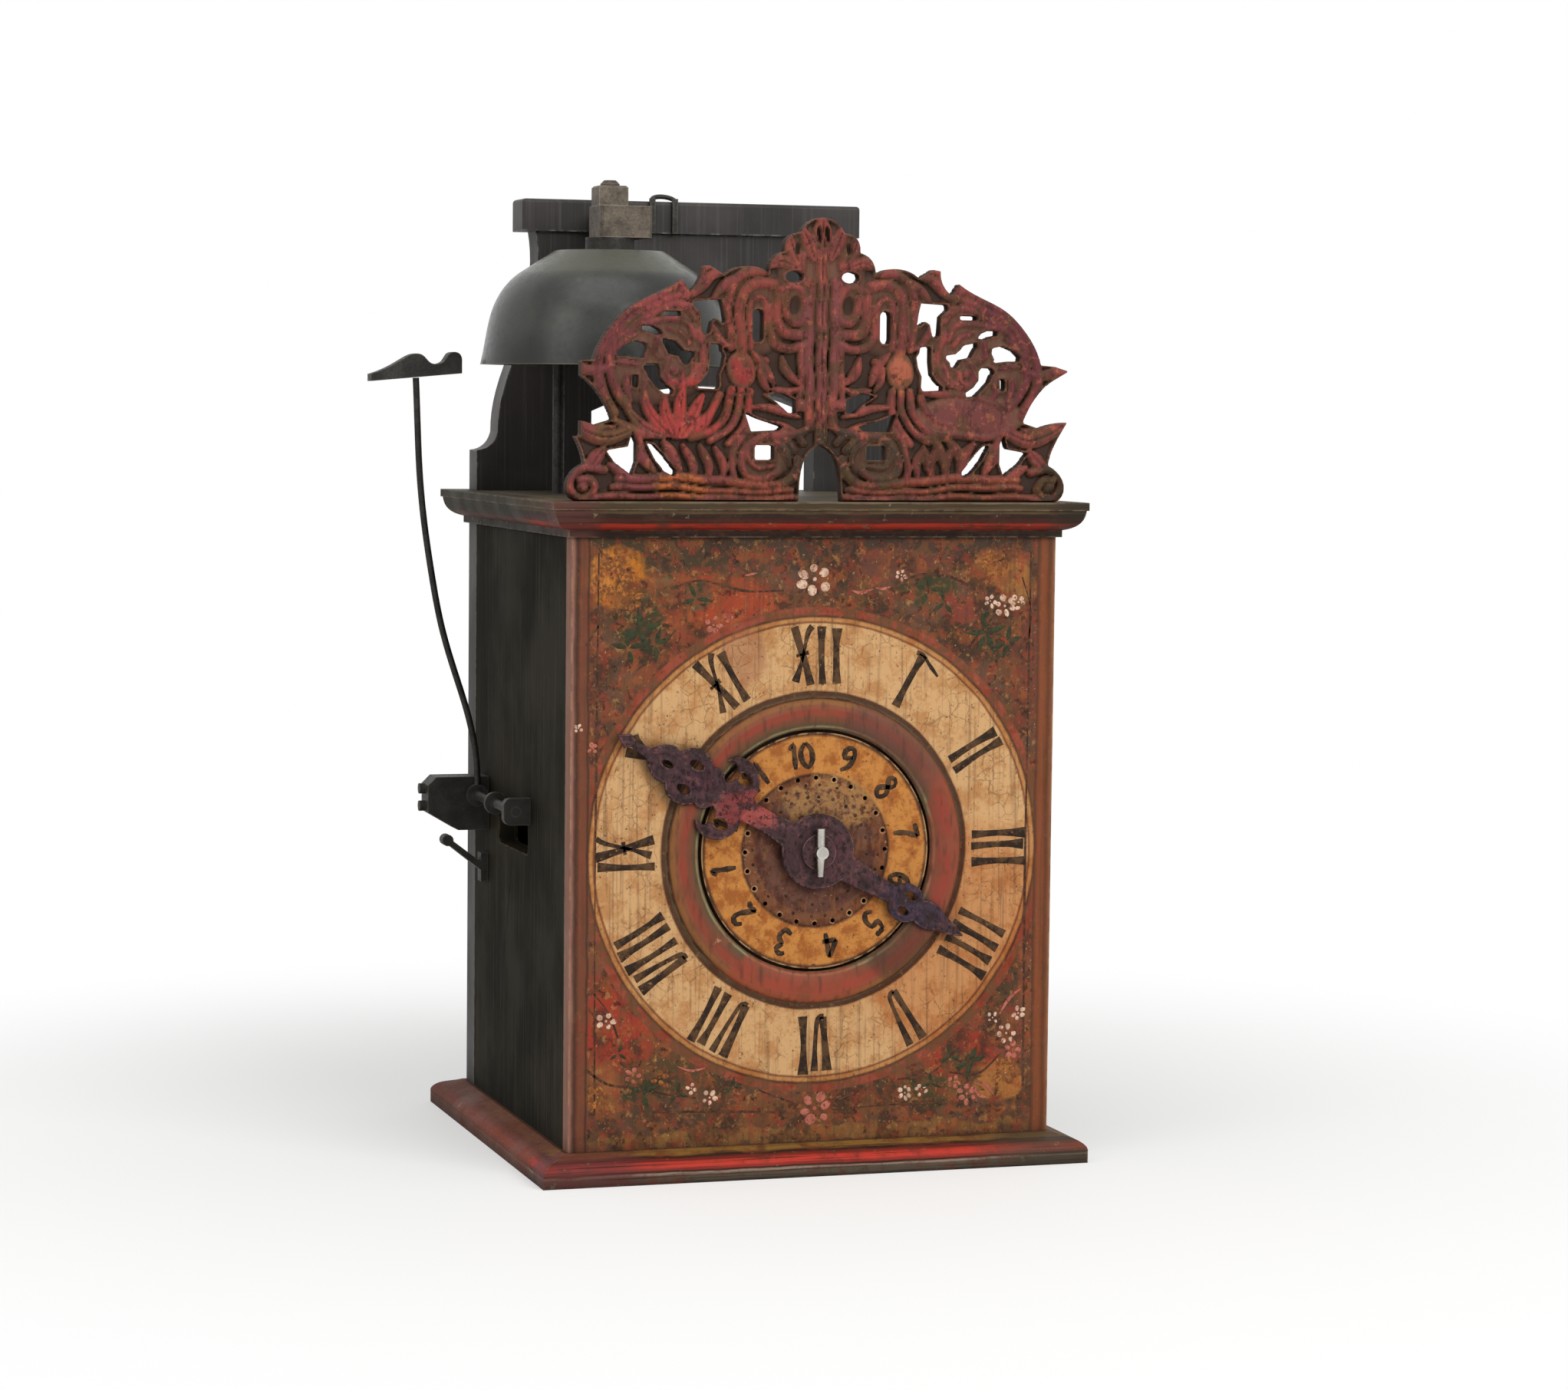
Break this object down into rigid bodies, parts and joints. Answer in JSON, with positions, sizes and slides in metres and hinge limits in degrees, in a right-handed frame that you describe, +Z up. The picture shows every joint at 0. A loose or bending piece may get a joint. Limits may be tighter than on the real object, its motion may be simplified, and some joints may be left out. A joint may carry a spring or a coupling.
{
  "type": "chamber clock",
  "caption": "Weight-driven chamber clock in a painted wooden case with a pierced crest, a top bell, an outside striking hammer and an alarm disc.",
  "frame": {"origin": "centre of the foot's underside, on the surface the clock stands on", "axes": "+X to the right of the dial, +Y to the back, +Z up"},
  "size_m": [0.2653, 0.202, 0.395],
  "materials": {
    "dark_case": "aged dark oil paint, worn",
    "painted_dial": "folk painted in oil colours, worn",
    "red_moulding": "red oil paint, worn",
    "carved_crest": "carved, painted red and green, worn",
    "dark_board": "dark paint, satin",
    "plain_wood": "bare, planed",
    "turned_ring": "turned, red-brown paint",
    "painted_disc": "painted numbers, worn",
    "hand_iron": "painted sheet iron, worn",
    "wrought_iron": "forged and blackened",
    "bright_steel": "filed bright",
    "bell_bronze": "dark patinated bell metal",
    "wheel_iron": "filed and oiled",
    "wheel_brass": "filed, dull"
  },
  "bodies": {
    "case": {"foot_board": "dark_board", "plinth_moulding": "red_moulding", "cornice_moulding": "red_moulding", "dial_board": "painted_dial", "left_side_panel": "dark_case", "right_side_panel": "dark_case", "rear_board": "dark_board", "top_board": "dark_board", "cap_bar": "dark_board", "hanging_loop": "wrought_iron", "crest": "carved_crest", "dial_ring": "turned_ring", "bell": "bell_bronze", "bell_washer": "wrought_iron", "bell_arm": "wrought_iron", "bell_spindle": "wrought_iron", "bell_nut": "wrought_iron", "seat_rails": "plain_wood", "frame_base_plate": "wrought_iron", "frame_top_plate": "wrought_iron", "corner_posts": "wrought_iron", "front_plate": "wrought_iron", "middle_plate": "wrought_iron", "rear_plate": "wrought_iron", "escapement_cocks": "wrought_iron", "balance_cock": "wrought_iron", "hour_stud": "bright_steel", "hand_washer": "hand_iron", "taper_pin": "bright_steel", "count_stud": "wheel_iron", "front_hammer_cock": "wrought_iron", "rear_hammer_cock": "wrought_iron", "hammer_spring": "wrought_iron", "alarm_bracket": "wrought_iron"},
    "going_great": {"going_great_arbor": "wheel_iron", "going_great_wheel": "wheel_iron"},
    "going_pulley": {"going_rope_pulley": "plain_wood"},
    "going_second": {"second_arbor": "wheel_iron", "second_wheel": "wheel_brass"},
    "escape": {"escape_arbor": "wheel_iron", "crown_wheel": "wheel_brass"},
    "balance": {"verge": "wheel_iron", "balance_wheel": "wrought_iron"},
    "hour": {"hour_wheel": "wheel_iron", "hour_hand": "hand_iron"},
    "alarm_dial": {"alarm_disc": "painted_disc"},
    "strike_great": {"strike_great_arbor": "wheel_iron", "strike_great_wheel": "wheel_iron"},
    "strike_pulley": {"strike_rope_pulley": "plain_wood"},
    "locking": {"locking_arbor": "wheel_iron", "locking_wheel": "wheel_brass"},
    "fly_body": {"fly_arbor": "wheel_iron", "fly": "wheel_iron"},
    "counting": {"count_wheel": "wheel_brass"},
    "detent": {"detent_lever": "wheel_iron"},
    "strike_hammer": {"hammer_arbor": "wrought_iron", "hammer_rod": "wrought_iron", "hammer_head": "wrought_iron"},
    "alarm_train": {"alarm_wheel": "wheel_iron"},
    "alarm_striker": {"alarm_hammer": "wrought_iron"}
  },
  "joints": [
    {"name": "going_great_turn", "type": "hinge", "parent": "case", "child": "going_great", "pos_m": [0, -0.03, 0.0916], "axis": [0, 1, 0], "continuous": true},
    {"name": "going_pulley_turn", "type": "hinge", "parent": "going_great", "child": "going_pulley", "pos_m": [0, -0.037, 0.0916], "axis": [0, 1, 0], "continuous": true},
    {"name": "second_turn", "type": "hinge", "parent": "case", "child": "going_second", "pos_m": [0.01368, -0.03, 0.12919], "axis": [0, 1, 0], "continuous": true},
    {"name": "escape_turn", "type": "hinge", "parent": "case", "child": "escape", "pos_m": [0, -0.02, 0.15812], "axis": [0, 1, 0], "continuous": true},
    {"name": "hour_turn", "type": "hinge", "parent": "case", "child": "hour", "pos_m": [0, -0.08, 0.128], "axis": [0, 1, 0], "continuous": true},
    {"name": "alarm_dial_turn", "type": "hinge", "parent": "hour", "child": "alarm_dial", "pos_m": [0, -0.086, 0.128], "axis": [0, 1, 0], "continuous": true},
    {"name": "balance_swing", "type": "hinge", "parent": "case", "child": "balance", "pos_m": [0, -0.0376, 0.18], "axis": [0, 0, 1], "range_deg": [-25, 25]},
    {"name": "strike_great_turn", "type": "hinge", "parent": "case", "child": "strike_great", "pos_m": [0, 0.025, 0.0916], "axis": [0, 1, 0], "continuous": true},
    {"name": "strike_pulley_turn", "type": "hinge", "parent": "strike_great", "child": "strike_pulley", "pos_m": [0, 0.024, 0.0916], "axis": [0, 1, 0], "continuous": true},
    {"name": "locking_turn", "type": "hinge", "parent": "case", "child": "locking", "pos_m": [0.01368, 0.025, 0.12919], "axis": [0, 1, 0], "continuous": true},
    {"name": "fly_turn", "type": "hinge", "parent": "case", "child": "fly_body", "pos_m": [0, 0.025, 0.15812], "axis": [0, 1, 0], "continuous": true},
    {"name": "count_turn", "type": "hinge", "parent": "case", "child": "counting", "pos_m": [0.0098, 0.06, 0.10857], "axis": [0, 1, 0], "continuous": true},
    {"name": "detent_lift", "type": "hinge", "parent": "case", "child": "detent", "pos_m": [-0.03, 0.03, 0.15], "axis": [0, 1, 0], "range_deg": [-8, 0]},
    {"name": "strike_hammer_swing", "type": "hinge", "parent": "case", "child": "strike_hammer", "pos_m": [-0.106, 0.018, 0.139], "axis": [0, 1, 0], "range_deg": [-12, 2.3], "stiffness_Nm_per_rad": 0.6, "springref_deg": 0.57},
    {"name": "alarm_train_turn", "type": "hinge", "parent": "case", "child": "alarm_train", "pos_m": [-0.077, 0.045, 0.2], "axis": [0, 1, 0], "continuous": true},
    {"name": "alarm_hammer_swing", "type": "hinge", "parent": "case", "child": "alarm_striker", "pos_m": [-0.077, 0.025, 0.25], "axis": [0, 0, 1], "range_deg": [-30, 30]}
  ],
  "couplings": [
    {"joint": "second_turn", "follows": "going_great_turn", "ratio": -7},
    {"joint": "escape_turn", "follows": "going_great_turn", "ratio": 49},
    {"joint": "hour_turn", "follows": "going_great_turn", "ratio": -0.083333},
    {"joint": "locking_turn", "follows": "strike_great_turn", "ratio": -7},
    {"joint": "fly_turn", "follows": "strike_great_turn", "ratio": 49},
    {"joint": "count_turn", "follows": "strike_great_turn", "ratio": -0.16667}
  ]
}
